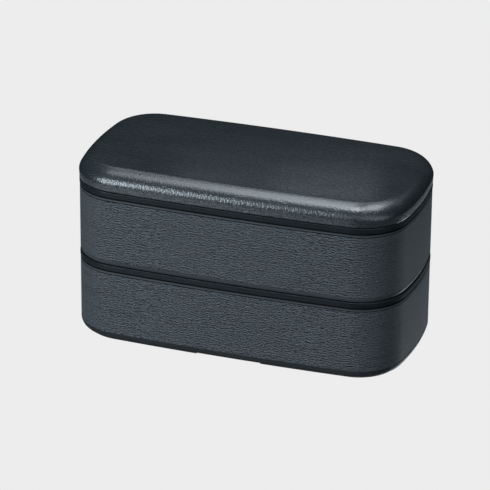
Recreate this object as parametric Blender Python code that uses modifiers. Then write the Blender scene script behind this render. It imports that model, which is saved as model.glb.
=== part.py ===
"""Two-tier bento box: two containers, two seal lids with gaskets and air valves, a divider and a lid.

Every ring-shaped piece is one cross-section swept along the same closed plan outline, and flat
panels close the sweep. A section is written as (inset, height) pairs in metres: inset runs inwards
from the outer face of the walls, height runs up from the piece's own datum.
"""
import math

import bmesh
import bpy

# Plan outline of the walls, shared by all tiers and lids
LENGTH = 0.180
WIDTH = 0.0924
CORNER_RADIUS = 0.0254
LONG_SIDE_RADIUS = 1.459
SHORT_SIDE_RADIUS = 0.1653

# Segments in half a short side, in a corner and in half a long side
SHORT_STEPS = 2
CORNER_STEPS = 7
LONG_STEPS = 2

# Segments in the round stretches of the sections
EDGE_STEPS = 2
FILLET_STEPS = 3
ROUNDING_STEPS = 4
TONGUE_STEPS = 3
SHOULDER_STEPS = 8
LID_INSIDE_STEPS = 5

# Containers
CONTAINER_HEIGHT = 0.04065
WALL = 0.0020
FLOOR = 0.0020
BOTTOM_RADIUS = 0.0046
INNER_FILLET = 0.0050
RIM_ROUND = 0.0005
LIP_HEIGHT = 0.0016
LINE_DEPTH = 0.00022
LINE_WIDTH = 0.0005
FOOT_INSET = 0.0049
FOOT_WIDTH = 0.0030
FOOT_HEIGHT = 0.0008
FOOT_CHAMFER = 0.0002
FOOT_NOTCH_LENGTH = 0.035
FOOT_NOTCH_LEFT = 0.0001
PANEL_MARGIN = 0.0041

# Seal lids
SEAT_GAP = 0.0003
FLANGE_HEIGHT = 0.00305
FLANGE_PROUD = 0.00015
FLANGE_ROUND = 0.0002
PANEL = 0.0016
PLUG_CLEARANCE = 0.0008
PLUG_DEPTH = 0.0055
PLUG_WALL = 0.0031
PLUG_CHAMFER = 0.0006
PLUG_FILLET = 0.0010
GROOVE_TOP = 0.0013
GROOVE_HEIGHT = 0.0028
GROOVE_DEPTH = 0.0016

# Gaskets
GASKET_BAND = 0.0009
GASKET_LIP_ROOT = 0.0007
GASKET_LIP_TIP = 0.00035

# Air valves
VENT_END_DISTANCE = 0.032
VENT_BUTTON_RADIUS = 0.0054
VENT_BUTTON_HEIGHT = 0.0009
VENT_BUTTON_ROUND = 0.0003
VENT_BUTTON_SINK = 0.00015
VENT_STEM_RADIUS = 0.0020
VENT_BEAD_RADIUS = 0.0030
VENT_BEAD_HEIGHT = 0.0010
VENT_TRAVEL = 0.0010
VENT_CLEARANCE = 0.0003
VENT_BOSS_RIM = 0.0030
VENT_BOSS_FLOOR = 0.0017
VENT_SCOOP_RADIUS = 0.0070
VENT_STEPS = 24
SCOOP_SEGMENTS = 20
SCOOP_RINGS = 12

# Outer lid
LID_HEIGHT = 0.01490
LID_EDGE_HEIGHT = 0.0036
LID_WIDEST_HEIGHT = 0.0072
LID_PROUD = 0.00032
LID_TUCK = 0.00020
LID_EDGE_ROUND = 0.0004
LID_SHOULDER_WIDTH = 0.0086
LID_SHOULDER_POWER = 1.75
LID_CROWN = 0.0003
LID_CROWN_SHOULDER = 0.00024
LID_CROWN_SLOPE = 0.0063
LID_PANEL_CORNER = 0.0044
LID_WALL = 0.0022
LID_TOP = 0.0022
LID_TONGUE_INSET = 0.0006

# Divider
DIVIDER_THICKNESS = 0.0012
DIVIDER_SIDE_GAP = 0.0006
DIVIDER_TOP_GAP = 0.0008
DIVIDER_TOP_RADIUS = 0.0040
DIVIDER_BEAD_RADIUS = 0.0010
DIVIDER_BASE_LENGTH = 0.0120
DIVIDER_BASE_HEIGHT = 0.0008
DIVIDER_CORNER_STEPS = 6
DIVIDER_BEAD_STEPS = 12

# Heights of the stack, from the foot of the lower container
SEAL_HEIGHT = CONTAINER_HEIGHT + SEAT_GAP
TIER_PITCH = SEAL_HEIGHT + SEAT_GAP
FLOOR_TOP = FOOT_HEIGHT + FLOOR
ROUNDING_TOP = FOOT_HEIGHT + BOTTOM_RADIUS

# Insets that the sections share: the foot's inner side, the plug's two sides, and the lines
# where flat panels take over from the sweep
FOOT_INNER = FOOT_INSET + FOOT_WIDTH
PLUG_OUTER = WALL + PLUG_CLEARANCE
PLUG_INNER = PLUG_OUTER + PLUG_WALL
PANEL_INSET = max(FOOT_INNER, PLUG_INNER + PLUG_FILLET) + PANEL_MARGIN
LID_PANEL_INSET = CORNER_RADIUS - LID_PANEL_CORNER

# Places of the air valves: along the box, and down from the recess floor of their seal lid
VENT_X = LENGTH / 2 - VENT_END_DISTANCE
VENT_SEAT_RADIUS = VENT_BUTTON_RADIUS + VENT_CLEARANCE
VENT_SEAT_DEPTH = VENT_BUTTON_SINK + VENT_BUTTON_HEIGHT + VENT_CLEARANCE
VENT_BOSS_DEPTH = VENT_SEAT_DEPTH + VENT_BOSS_FLOOR

# Finishes: colour and roughness
GRAINED_BLACK = ((0.030, 0.035, 0.040), 0.55)
SATIN_BLACK = ((0.012, 0.014, 0.016), 0.35)
SILICONE_GREY = ((0.100, 0.100, 0.100), 0.60)
DIVIDER_BLACK = ((0.040, 0.040, 0.040), 0.45)

# Working tolerances of the construction
MERGE_DISTANCE = 0.000002
SHARP_ANGLE = math.radians(32)
OVERSHOOT = 0.0005


def arc(inset, height, radius, start, end, steps):
    """Points on a round stretch of a section, angles in degrees from the inward direction."""
    points = []
    for step in range(steps + 1):
        angle = math.radians(start + (end - start) * step / steps)
        points.append((inset + radius * math.cos(angle), height + radius * math.sin(angle)))
    return points


def plan_outline():
    """The walls' plan, counter-clockwise: four bowed sides joined by tangent corner arcs."""
    long_y = WIDTH / 2 - LONG_SIDE_RADIUS
    short_x = LENGTH / 2 - SHORT_SIDE_RADIUS
    # The corner circle touches both side circles from inside, so its centre lies at these
    # distances from theirs
    from_long = LONG_SIDE_RADIUS - CORNER_RADIUS
    from_short = SHORT_SIDE_RADIUS - CORNER_RADIUS
    span = math.hypot(short_x, long_y)
    along = (from_long ** 2 - from_short ** 2 + span ** 2) / (2 * span)
    across = math.sqrt(from_long ** 2 - along ** 2)
    unit_x = short_x / span
    unit_y = -long_y / span
    corner_x = unit_x * along + unit_y * across
    corner_y = long_y + unit_y * along - unit_x * across
    short_end = math.atan2(corner_y, corner_x - short_x)
    long_start = math.atan2(corner_y - long_y, corner_x)

    def side(centre_x, centre_y, radius, start, end, steps):
        turns = [start + (end - start) * step / steps for step in range(steps)]
        return [(centre_x + radius * math.cos(turn), centre_y + radius * math.sin(turn)) for turn in turns]

    quarter = side(short_x, 0.0, SHORT_SIDE_RADIUS, 0.0, short_end, SHORT_STEPS)
    quarter += side(corner_x, corner_y, CORNER_RADIUS, short_end, long_start, CORNER_STEPS)
    quarter += side(0.0, long_y, LONG_SIDE_RADIUS, long_start, math.pi / 2, LONG_STEPS)
    quarter.append((0.0, WIDTH / 2))
    half = quarter + [(-x, y) for x, y in reversed(quarter[:-1])]
    return half + [(x, -y) for x, y in reversed(half[1:-1])]


def collection(name):
    """A new collection in the scene."""
    made = bpy.data.collections.new(name)
    bpy.context.scene.collection.children.link(made)
    return made


def material(name, look):
    """A Principled plastic or silicone of one colour and roughness."""
    colour, roughness = look
    made = bpy.data.materials.new(name)
    made.use_nodes = True
    shader = made.node_tree.nodes["Principled BSDF"]
    shader.inputs["Base Color"].default_value = (*colour, 1.0)
    shader.inputs["Roughness"].default_value = roughness
    shader.inputs["Metallic"].default_value = 0.0
    return made


def poly_curve(name, points, cyclic):
    """A flat curve object through the given points."""
    data = bpy.data.curves.new(name, "CURVE")
    data.dimensions = "2D"
    data.fill_mode = "NONE"
    spline = data.splines.new("POLY")
    spline.points.add(len(points) - 1)
    for point, (x, y) in zip(spline.points, points):
        point.co = (x, y, 0.0, 1.0)
    spline.use_cyclic_u = cyclic
    made = bpy.data.objects.new(name, data)
    bpy.context.scene.collection.objects.link(made)
    return made


def as_mesh(source):
    """The evaluated mesh of an object, with its seams welded; the object itself is removed."""
    bpy.context.view_layer.update()
    evaluated = source.evaluated_get(bpy.context.evaluated_depsgraph_get())
    mesh = bpy.data.meshes.new_from_object(evaluated)
    bpy.data.objects.remove(source)
    shape = bmesh.new()
    shape.from_mesh(mesh)
    bmesh.ops.remove_doubles(shape, verts=shape.verts, dist=MERGE_DISTANCE)
    shape.to_mesh(mesh)
    shape.free()
    return mesh


def close_and_orient(mesh):
    """Flat panels over the open loops, and all faces outwards."""
    shape = bmesh.new()
    shape.from_mesh(mesh)
    bmesh.ops.holes_fill(shape, edges=shape.edges, sides=0)
    bmesh.ops.recalc_face_normals(shape, faces=shape.faces)
    shape.to_mesh(mesh)
    shape.free()


def finish(name, mesh, look, height=0.0, x=0.0):
    """One named object of the box, at its datum, shaded smooth between its sharp edges."""
    mesh.name = name
    mesh.materials.clear()
    mesh.materials.append(material(name + "_finish", look))
    mesh.shade_smooth()
    mesh.set_sharp_from_angle(angle=SHARP_ANGLE)
    made = bpy.data.objects.new(name, mesh)
    made.location = (x, 0.0, height)
    PARTS.objects.link(made)
    return made


def swept(name, section, look, height, closed=False):
    """A section carried round the plan outline. An open section ends in two flat panels."""
    path = poly_curve(name + "_path", plan_outline(), True)
    profile = poly_curve(name + "_section", section, closed)
    path.data.bevel_mode = "OBJECT"
    path.data.bevel_object = profile
    mesh = as_mesh(path)
    bpy.data.objects.remove(profile)
    close_and_orient(mesh)
    return finish(name, mesh, look, height)


def turned_mesh(name, profile):
    """A solid of revolution about Z from (radius, height) points, listed from top to bottom."""
    outline = bpy.data.meshes.new(name + "_profile")
    links = [(index, index + 1) for index in range(len(profile) - 1)]
    outline.from_pydata([(radius, 0.0, height) for radius, height in profile], links, [])
    turned = bpy.data.objects.new(name, outline)
    bpy.context.scene.collection.objects.link(turned)
    screw = turned.modifiers.new("turn", "SCREW")
    screw.angle = 2 * math.pi
    screw.steps = VENT_STEPS
    screw.render_steps = VENT_STEPS
    screw.use_merge_vertices = True
    screw.merge_threshold = MERGE_DISTANCE
    mesh = as_mesh(turned)
    close_and_orient(mesh)
    return mesh


def cutter(name, mesh, location):
    """A hidden wire object that shapes another piece."""
    made = bpy.data.objects.new(name, mesh)
    made.location = location
    made.hide_render = True
    made.display_type = "WIRE"
    CUTTERS.objects.link(made)
    return made


def box_mesh(name, size_x, size_y, size_z):
    """A box centred on its own origin."""
    mesh = bpy.data.meshes.new(name)
    shape = bmesh.new()
    bmesh.ops.create_cube(shape, size=1.0)
    bmesh.ops.scale(shape, vec=(size_x, size_y, size_z), verts=shape.verts)
    shape.to_mesh(mesh)
    shape.free()
    return mesh


def combine(target, tool, operation):
    """A Boolean of the target with a hidden tool."""
    modifier = target.modifiers.new(tool.name, "BOOLEAN")
    modifier.object = tool
    modifier.operation = operation
    modifier.solver = "EXACT"


def scribed_line(height):
    """A fine V line round the wall, where the grained face meets a smooth border."""
    return [(0.0, height + LINE_WIDTH / 2), (LINE_DEPTH, height), (0.0, height - LINE_WIDTH / 2)]


def container_section():
    """From the middle of the food side, over the rim and down the outside, to the underside."""
    rim = CONTAINER_HEIGHT
    section = [(PANEL_INSET, FLOOR_TOP)]
    section += arc(WALL + INNER_FILLET, FLOOR_TOP + INNER_FILLET, INNER_FILLET, 270, 180, FILLET_STEPS)
    section += arc(WALL - RIM_ROUND, rim - RIM_ROUND, RIM_ROUND, 0, 90, EDGE_STEPS)
    section += arc(RIM_ROUND, rim - RIM_ROUND, RIM_ROUND, 90, 180, EDGE_STEPS)
    section += scribed_line(rim - LIP_HEIGHT)
    section += scribed_line(ROUNDING_TOP + LINE_WIDTH / 2)[:2]
    section += arc(BOTTOM_RADIUS, ROUNDING_TOP, BOTTOM_RADIUS, 180, 270, ROUNDING_STEPS)
    section += [(FOOT_INSET, FOOT_HEIGHT), (FOOT_INSET, FOOT_CHAMFER), (FOOT_INSET + FOOT_CHAMFER, 0.0)]
    section += [(FOOT_INNER - FOOT_CHAMFER, 0.0), (FOOT_INNER, FOOT_CHAMFER), (FOOT_INNER, FOOT_HEIGHT)]
    section += [(PANEL_INSET, FOOT_HEIGHT)]
    return section


def make_container(name, look, base):
    """A tier: one wall section swept round, with drain notches in the foot on both long sides."""
    made = swept(name, container_section(), look, base)
    notch_depth = FOOT_HEIGHT - FOOT_NOTCH_LEFT
    notch_height = notch_depth + OVERSHOOT
    notch = cutter(name + "_notch", box_mesh(name + "_notch", FOOT_NOTCH_LENGTH, WIDTH, notch_height),
                   (0.0, 0.0, base + notch_depth - notch_height / 2))
    combine(made, notch, "DIFFERENCE")
    return made


def cove_points(radius, low, high, steps):
    """An arc about the centre of a nested container's bottom rounding, between two heights."""
    centre = SEAT_GAP + ROUNDING_TOP
    start = math.degrees(math.asin((low - centre) / radius))
    end = math.degrees(math.asin((high - centre) / radius))
    return arc(BOTTOM_RADIUS, centre, radius, 180 - start, 180 - end, steps)


def seal_lid_section():
    """From the recess floor, up the cove and over the flange, down the plug, to the underside."""
    cove_radius = BOTTOM_RADIUS + SEAT_GAP
    cove_floor = SEAT_GAP + FOOT_HEIGHT
    face = -FLANGE_PROUD
    groove_low = -GROOVE_TOP - GROOVE_HEIGHT
    section = [(PANEL_INSET, 0.0), (FOOT_INSET - SEAT_GAP, 0.0)]
    section += cove_points(cove_radius, cove_floor, FLANGE_HEIGHT, ROUNDING_STEPS)
    flange_round = FLANGE_HEIGHT - FLANGE_ROUND
    section += arc(face + FLANGE_ROUND, flange_round, FLANGE_ROUND, 90, 180, EDGE_STEPS)
    section += [(face, FLANGE_ROUND), (face + FLANGE_ROUND, 0.0), (PLUG_OUTER, 0.0)]
    section += [(PLUG_OUTER, -GROOVE_TOP), (PLUG_OUTER + GROOVE_DEPTH, -GROOVE_TOP),
                (PLUG_OUTER + GROOVE_DEPTH, groove_low), (PLUG_OUTER, groove_low)]
    section += [(PLUG_OUTER, -PLUG_DEPTH + PLUG_CHAMFER), (PLUG_OUTER + PLUG_CHAMFER, -PLUG_DEPTH)]
    section += [(PLUG_INNER, -PLUG_DEPTH)]
    inner_fillet = PLUG_INNER + PLUG_FILLET
    section += arc(inner_fillet, -PANEL - PLUG_FILLET, PLUG_FILLET, 180, 90, EDGE_STEPS)
    section += [(PANEL_INSET, -PANEL)]
    return section


def make_seal_lid(name, look, datum):
    """A seal lid: the swept rim and panel, with the boss, seat and hole of its air valve."""
    made = swept(name, seal_lid_section(), look, datum)
    place = (VENT_X, 0.0, datum)
    boss_radius = VENT_SEAT_RADIUS + VENT_BOSS_RIM
    boss_profile = [(0.0, -PANEL / 2), (boss_radius, -PANEL / 2)]
    boss_profile += [(boss_radius, -VENT_BOSS_DEPTH), (0.0, -VENT_BOSS_DEPTH)]
    boss = cutter(name + "_boss", turned_mesh(name + "_boss", boss_profile), place)
    combine(made, boss, "UNION")
    hole_radius = VENT_STEM_RADIUS + VENT_CLEARANCE
    low = -VENT_BOSS_DEPTH - OVERSHOOT
    seat_profile = [(0.0, OVERSHOOT), (VENT_SEAT_RADIUS, OVERSHOOT), (VENT_SEAT_RADIUS, -VENT_SEAT_DEPTH)]
    seat_profile += [(hole_radius, -VENT_SEAT_DEPTH), (hole_radius, low), (0.0, low)]
    # A shallow thumbnail scoop beside the seat lets a finger get under the button
    scoop_mesh = bpy.data.meshes.new(name + "_scoop")
    shape = bmesh.new()
    bmesh.ops.create_uvsphere(shape, u_segments=SCOOP_SEGMENTS, v_segments=SCOOP_RINGS,
                              radius=VENT_SCOOP_RADIUS)
    shape.to_mesh(scoop_mesh)
    shape.free()
    scoop_rise = VENT_SCOOP_RADIUS - VENT_SEAT_DEPTH + VENT_CLEARANCE
    scoop_place = (VENT_X - VENT_SEAT_RADIUS, 0.0, datum + scoop_rise)
    combine(made, cutter(name + "_scoop", scoop_mesh, scoop_place), "DIFFERENCE")
    seat = cutter(name + "_seat", turned_mesh(name + "_seat", seat_profile), place)
    combine(made, seat, "DIFFERENCE")
    return made


def make_gasket(name, look, datum):
    """A silicone ring in the seal lid's groove, with two lips towards the container's wall."""
    back = PLUG_OUTER + GROOVE_DEPTH - SEAT_GAP
    front = back - GASKET_BAND
    tip = WALL + SEAT_GAP
    top = -GROOVE_TOP - SEAT_GAP
    low = -GROOVE_TOP - GROOVE_HEIGHT + SEAT_GAP
    middle = (top + low) / 2
    valley = (top - low) / 2 - GASKET_LIP_ROOT
    section = [(back, top), (tip, top), (tip, top - GASKET_LIP_TIP), (front, middle + valley)]
    section += [(front, middle - valley), (tip, low + GASKET_LIP_TIP), (tip, low), (back, low)]
    return swept(name, section, look, datum, closed=True)


def make_vent(name, look, datum):
    """An air valve: button, stem through the boss, and a bead that ends its travel."""
    button_top = -VENT_BUTTON_SINK
    button_low = button_top - VENT_BUTTON_HEIGHT
    bead_top = -VENT_BOSS_DEPTH - VENT_TRAVEL - VENT_CLEARANCE
    bead_low = bead_top - VENT_BEAD_HEIGHT
    profile = [(0.0, button_top), (VENT_BUTTON_RADIUS - VENT_BUTTON_ROUND, button_top)]
    profile += [(VENT_BUTTON_RADIUS, button_top - VENT_BUTTON_ROUND), (VENT_BUTTON_RADIUS, button_low)]
    profile += [(VENT_STEM_RADIUS, button_low), (VENT_STEM_RADIUS, bead_top)]
    profile += [(VENT_BEAD_RADIUS, bead_top), (VENT_BEAD_RADIUS, (bead_top + bead_low) / 2)]
    profile += [(VENT_STEM_RADIUS, bead_low), (0.0, bead_low)]
    return finish(name, turned_mesh(name, profile), look, datum, VENT_X)


def lid_shoulder(inset, widest, width, rise, steps):
    """The pillow edge: a quarter of a superellipse from the widest line up to the flat top."""
    points = []
    exponent = 2 / LID_SHOULDER_POWER
    for step in range(steps + 1):
        angle = math.pi / 2 * (steps - step) / steps
        across = 1 - math.cos(angle) ** exponent
        points.append((inset + width * across, widest + rise * math.sin(angle) ** exponent))
    return points


def lid_section():
    """From the crown over the pillow edge to the seat, and back up inside to the underside."""
    crown = LID_HEIGHT + LID_CROWN
    shoulder_rise = LID_HEIGHT - LID_WIDEST_HEIGHT
    bottom = -LID_PROUD + LID_TUCK
    crown_edge = LID_PANEL_INSET - LID_CROWN_SLOPE
    section = [(LID_PANEL_INSET, crown), (crown_edge, LID_HEIGHT + LID_CROWN_SHOULDER)]
    section += lid_shoulder(-LID_PROUD, LID_WIDEST_HEIGHT, LID_SHOULDER_WIDTH, shoulder_rise, SHOULDER_STEPS)
    section += [(bottom - LID_TUCK / 2, (LID_WIDEST_HEIGHT + LID_EDGE_HEIGHT) / 2)]
    edge_round = LID_EDGE_HEIGHT + LID_EDGE_ROUND
    section += arc(bottom + LID_EDGE_ROUND, edge_round, LID_EDGE_ROUND, 180, 270, EDGE_STEPS)
    # The tongue follows the nested container's rounding, so it seats in the same cove
    centre = SEAT_GAP + ROUNDING_TOP
    tongue_top = centre - math.sqrt(BOTTOM_RADIUS ** 2 - (BOTTOM_RADIUS - LID_TONGUE_INSET) ** 2)
    tongue_low = centre - math.sqrt(BOTTOM_RADIUS ** 2 - (BOTTOM_RADIUS - LID_WALL) ** 2)
    section += [(LID_TONGUE_INSET, LID_EDGE_HEIGHT)]
    section += cove_points(BOTTOM_RADIUS, tongue_top, tongue_low, TONGUE_STEPS)
    section += [(LID_WALL, LID_WIDEST_HEIGHT)]
    inside_width = LID_SHOULDER_WIDTH - LID_WALL
    inside_rise = shoulder_rise - LID_TOP
    inside = lid_shoulder(LID_WALL, LID_WIDEST_HEIGHT, inside_width, inside_rise, LID_INSIDE_STEPS)
    section += list(reversed(inside))[1:]
    section += [(LID_PANEL_INSET, LID_HEIGHT - LID_TOP)]
    return section


def rounded_plate(half_width, height, low_radius, top_radius):
    """Outline of an upright plate on a floor at height 0, with different corners below and above."""
    corners = ((half_width - low_radius, low_radius, low_radius, -90),
               (half_width - top_radius, height - top_radius, top_radius, 0),
               (-half_width + top_radius, height - top_radius, top_radius, 90),
               (-half_width + low_radius, low_radius, low_radius, 180))
    points = []
    for across, level, radius, start in corners:
        points += arc(across, level, radius, start, start + 90, DIVIDER_CORNER_STEPS)
    return points


def make_divider(name, look, container_base):
    """The loose partition: an upright plate with a beaded top edge and a flat base to stand on."""
    datum = container_base + FLOOR_TOP + SEAT_GAP
    half_width = WIDTH / 2 - WALL - DIVIDER_SIDE_GAP
    plug_low = CONTAINER_HEIGHT + SEAT_GAP - PLUG_DEPTH
    height = plug_low - DIVIDER_TOP_GAP - FLOOR_TOP - SEAT_GAP
    plate = poly_curve(name, rounded_plate(half_width, height, INNER_FILLET, DIVIDER_TOP_RADIUS), True)
    plate.data.fill_mode = "BOTH"
    plate.data.extrude = DIVIDER_THICKNESS / 2
    mesh = as_mesh(plate)
    shape = bmesh.new()
    shape.from_mesh(mesh)
    # The outline was drawn flat: its first axis becomes Y and its second becomes Z
    for vert in shape.verts:
        vert.co = (vert.co.z, vert.co.x, vert.co.y)
    bmesh.ops.recalc_face_normals(shape, faces=shape.faces)
    shape.to_mesh(mesh)
    shape.free()
    made = finish(name, mesh, look, datum)
    bead_half = half_width - DIVIDER_TOP_RADIUS
    bead_mesh = bpy.data.meshes.new(name + "_bead")
    shape = bmesh.new()
    bmesh.ops.create_cone(shape, cap_ends=True, segments=DIVIDER_BEAD_STEPS, radius1=DIVIDER_BEAD_RADIUS,
                          radius2=DIVIDER_BEAD_RADIUS, depth=2 * bead_half)
    for vert in shape.verts:
        vert.co = (vert.co.x, vert.co.z, vert.co.y)
    bmesh.ops.recalc_face_normals(shape, faces=shape.faces)
    shape.to_mesh(bead_mesh)
    shape.free()
    bead = cutter(name + "_bead", bead_mesh, (0.0, 0.0, datum + height - DIVIDER_BEAD_RADIUS))
    combine(made, bead, "UNION")
    base_width = 2 * (half_width - INNER_FILLET)
    base_mesh = box_mesh(name + "_base", DIVIDER_BASE_LENGTH, base_width, DIVIDER_BASE_HEIGHT)
    base = cutter(name + "_base", base_mesh, (0.0, 0.0, datum + DIVIDER_BASE_HEIGHT / 2))
    combine(made, base, "UNION")
    return made


for leftover in list(bpy.data.objects):
    bpy.data.objects.remove(leftover)

PARTS = collection("bento_box")
CUTTERS = collection("bento_box_cutters")

for tier, base in (("lower", 0.0), ("upper", TIER_PITCH)):
    make_container(tier + "_container", GRAINED_BLACK, base)
    make_seal_lid(tier + "_seal_lid", SATIN_BLACK, base + SEAL_HEIGHT)
    make_gasket(tier + "_gasket", SILICONE_GREY, base + SEAL_HEIGHT)
    make_vent(tier + "_vent_plug", SILICONE_GREY, base + SEAL_HEIGHT)
make_divider("divider", DIVIDER_BLACK, TIER_PITCH)
swept("outer_lid", lid_section(), GRAINED_BLACK, TIER_PITCH + SEAL_HEIGHT)
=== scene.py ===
# %% [markdown]
# # A two-tier bento box, piece by piece
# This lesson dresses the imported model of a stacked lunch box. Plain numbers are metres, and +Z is
# up.

# %% Load the fixed frame
import math

import bmesh
import bpy
from mathutils import Matrix, Vector


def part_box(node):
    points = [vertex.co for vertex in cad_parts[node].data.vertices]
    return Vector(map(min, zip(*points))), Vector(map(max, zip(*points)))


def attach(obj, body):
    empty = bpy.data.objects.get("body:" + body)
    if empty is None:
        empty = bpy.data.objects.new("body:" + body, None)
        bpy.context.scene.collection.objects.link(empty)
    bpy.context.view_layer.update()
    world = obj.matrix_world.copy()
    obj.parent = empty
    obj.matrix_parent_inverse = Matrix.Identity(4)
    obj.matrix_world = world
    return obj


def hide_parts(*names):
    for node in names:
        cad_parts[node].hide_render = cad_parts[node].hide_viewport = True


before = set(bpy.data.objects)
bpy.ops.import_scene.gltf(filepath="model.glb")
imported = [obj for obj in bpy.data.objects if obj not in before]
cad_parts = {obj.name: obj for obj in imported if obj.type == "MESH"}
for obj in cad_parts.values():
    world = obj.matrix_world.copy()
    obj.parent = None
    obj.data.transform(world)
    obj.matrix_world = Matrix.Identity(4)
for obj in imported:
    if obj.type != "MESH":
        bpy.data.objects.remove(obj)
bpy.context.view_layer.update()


# %% [markdown]
# ## The plan outline
# Seen from above, every tier and lid shares one outline: four sides that bow out a little, joined by
# round corners. Four circular arcs that touch each other give it exactly, with no sampled points. Only
# the three radii are chosen here, because the length and width come from the lower container itself.

# %% Work out the plan outline
CORNER_RADIUS = 0.0254
LONG_SIDE_RADIUS = 1.459
SHORT_SIDE_RADIUS = 0.1653
SHORT_STEPS = 6
CORNER_STEPS = 24
LONG_STEPS = 12

container_low, container_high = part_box("lower_container")
LENGTH = container_high.x - container_low.x
WIDTH = container_high.y - container_low.y


def plan_outline():
    """The walls' outer face in plan, counter-clockwise from the middle of the right-hand side."""
    long_y = WIDTH / 2 - LONG_SIDE_RADIUS
    short_x = LENGTH / 2 - SHORT_SIDE_RADIUS
    from_long = LONG_SIDE_RADIUS - CORNER_RADIUS
    from_short = SHORT_SIDE_RADIUS - CORNER_RADIUS
    span = math.hypot(short_x, long_y)
    along = (from_long ** 2 - from_short ** 2 + span ** 2) / (2 * span)
    across = math.sqrt(from_long ** 2 - along ** 2)
    corner_x = (short_x * along - long_y * across) / span
    corner_y = long_y - (long_y * along + short_x * across) / span
    short_end = math.atan2(corner_y, corner_x - short_x)
    long_start = math.atan2(corner_y - long_y, corner_x)

    def stretch(centre_x, centre_y, radius, start, end, steps):
        turns = [start + (end - start) * step / steps for step in range(steps)]
        return [(centre_x + radius * math.cos(turn), centre_y + radius * math.sin(turn)) for turn in turns]

    quarter = stretch(short_x, 0.0, SHORT_SIDE_RADIUS, 0.0, short_end, SHORT_STEPS)
    quarter += stretch(corner_x, corner_y, CORNER_RADIUS, short_end, long_start, CORNER_STEPS)
    quarter += stretch(0.0, long_y, LONG_SIDE_RADIUS, long_start, math.pi / 2, LONG_STEPS)
    quarter.append((0.0, WIDTH / 2))
    half = quarter + [(-x, y) for x, y in reversed(quarter[:-1])]
    return half + [(x, -y) for x, y in reversed(half[1:-1])]


print("outline points:", len(plan_outline()))

# %% [markdown]
# ## Nodes written as Python
# Both the shapes and the finishes below are node trees. A long tree is hard to read as a list of links,
# so numbers travel in a small class whose operators add Math nodes: `1 - mask` is then a node, and the
# formula stays readable.

# %% A class for numbers in a tree


class Wire:
    """A number that travels in a node tree. Its operators add Math nodes."""

    def __init__(self, tree, socket):
        self.tree = tree
        self.socket = socket

    def join(self, operation, first, second):
        made = self.tree.node("ShaderNodeMath", {"operation": operation}, {0: first, 1: second})
        return Wire(self.tree, made.outputs[0])

    def __add__(self, other):
        return self.join("ADD", self, other)

    def __radd__(self, other):
        return self.join("ADD", other, self)

    def __sub__(self, other):
        return self.join("SUBTRACT", self, other)

    def __rsub__(self, other):
        return self.join("SUBTRACT", other, self)

    def __mul__(self, other):
        return self.join("MULTIPLY", self, other)

    def __rmul__(self, other):
        return self.join("MULTIPLY", other, self)

    def __truediv__(self, other):
        return self.join("DIVIDE", self, other)

    def __abs__(self):
        return self.join("ABSOLUTE", self, 0.0)

    def sine(self):
        return self.join("SINE", self, 0.0)

    def at_least(self, other):
        return self.join("MAXIMUM", self, other)

    def at_most(self, other):
        return self.join("MINIMUM", self, other)

    def clamped(self):
        return self.at_least(0.0).at_most(1.0)


# %% [markdown]
# Every other node comes from one method, which sets the node's own settings first and its sockets second,
# because a setting can change which sockets a node has.

# %% A class for the tree


class Tree:
    """A node tree with one way to add any node."""

    def __init__(self, data):
        self.data = data

    def link(self, source, target):
        self.data.links.new(source.socket if isinstance(source, Wire) else source, target)

    def node(self, kind, settings=None, sockets=None):
        made = self.data.nodes.new(kind)
        for key, value in (settings or {}).items():
            setattr(made, key, value)
        for key, value in (sockets or {}).items():
            if isinstance(value, (Wire, bpy.types.NodeSocket)):
                self.link(value, made.inputs[key])
            else:
                made.inputs[key].default_value = value
        return made

    def number(self, kind, settings=None, sockets=None, output=0):
        return Wire(self, self.node(kind, settings, sockets).outputs[output])

    def vector(self, operation, first, second):
        made = self.node("ShaderNodeVectorMath", {"operation": operation}, {0: first, 1: second})
        return made.outputs["Vector"]

    def scaled(self, vector, factor):
        made = self.node("ShaderNodeVectorMath", {"operation": "SCALE"}, {0: vector, "Scale": factor})
        return made.outputs["Vector"]

    def axes(self, vector):
        return self.node("ShaderNodeSeparateXYZ", {}, {"Vector": vector}).outputs


# %% [markdown]
# ## One rule for every shell
# Containers, inner lids, gaskets and the cover are all the same kind of shape: a section carried round
# the outline. In a section, the first number is the inset from the walls' outer face and the second is
# the height. The third says how deep the moulded grain is at that point. The fourth says how rubbed the
# point is, which on an inner lid's edge is also a painted highlight, and below zero it marks painted
# shade. Geometry Nodes follow this rule directly. Curve to Mesh lays out the faces, and Set Position then
# puts each point at the outline's point, moved inwards by the inset. Past a given inset the rings would
# fold over themselves in the corners, so from there they shrink to the middle and close the shell with
# no flat cap. The grain, the wear and the painted shade stay on the mesh as attributes, for the finishes
# to read.

# %% Build the tree that sweeps a section
WELD_DISTANCE = 0.000002


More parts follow.
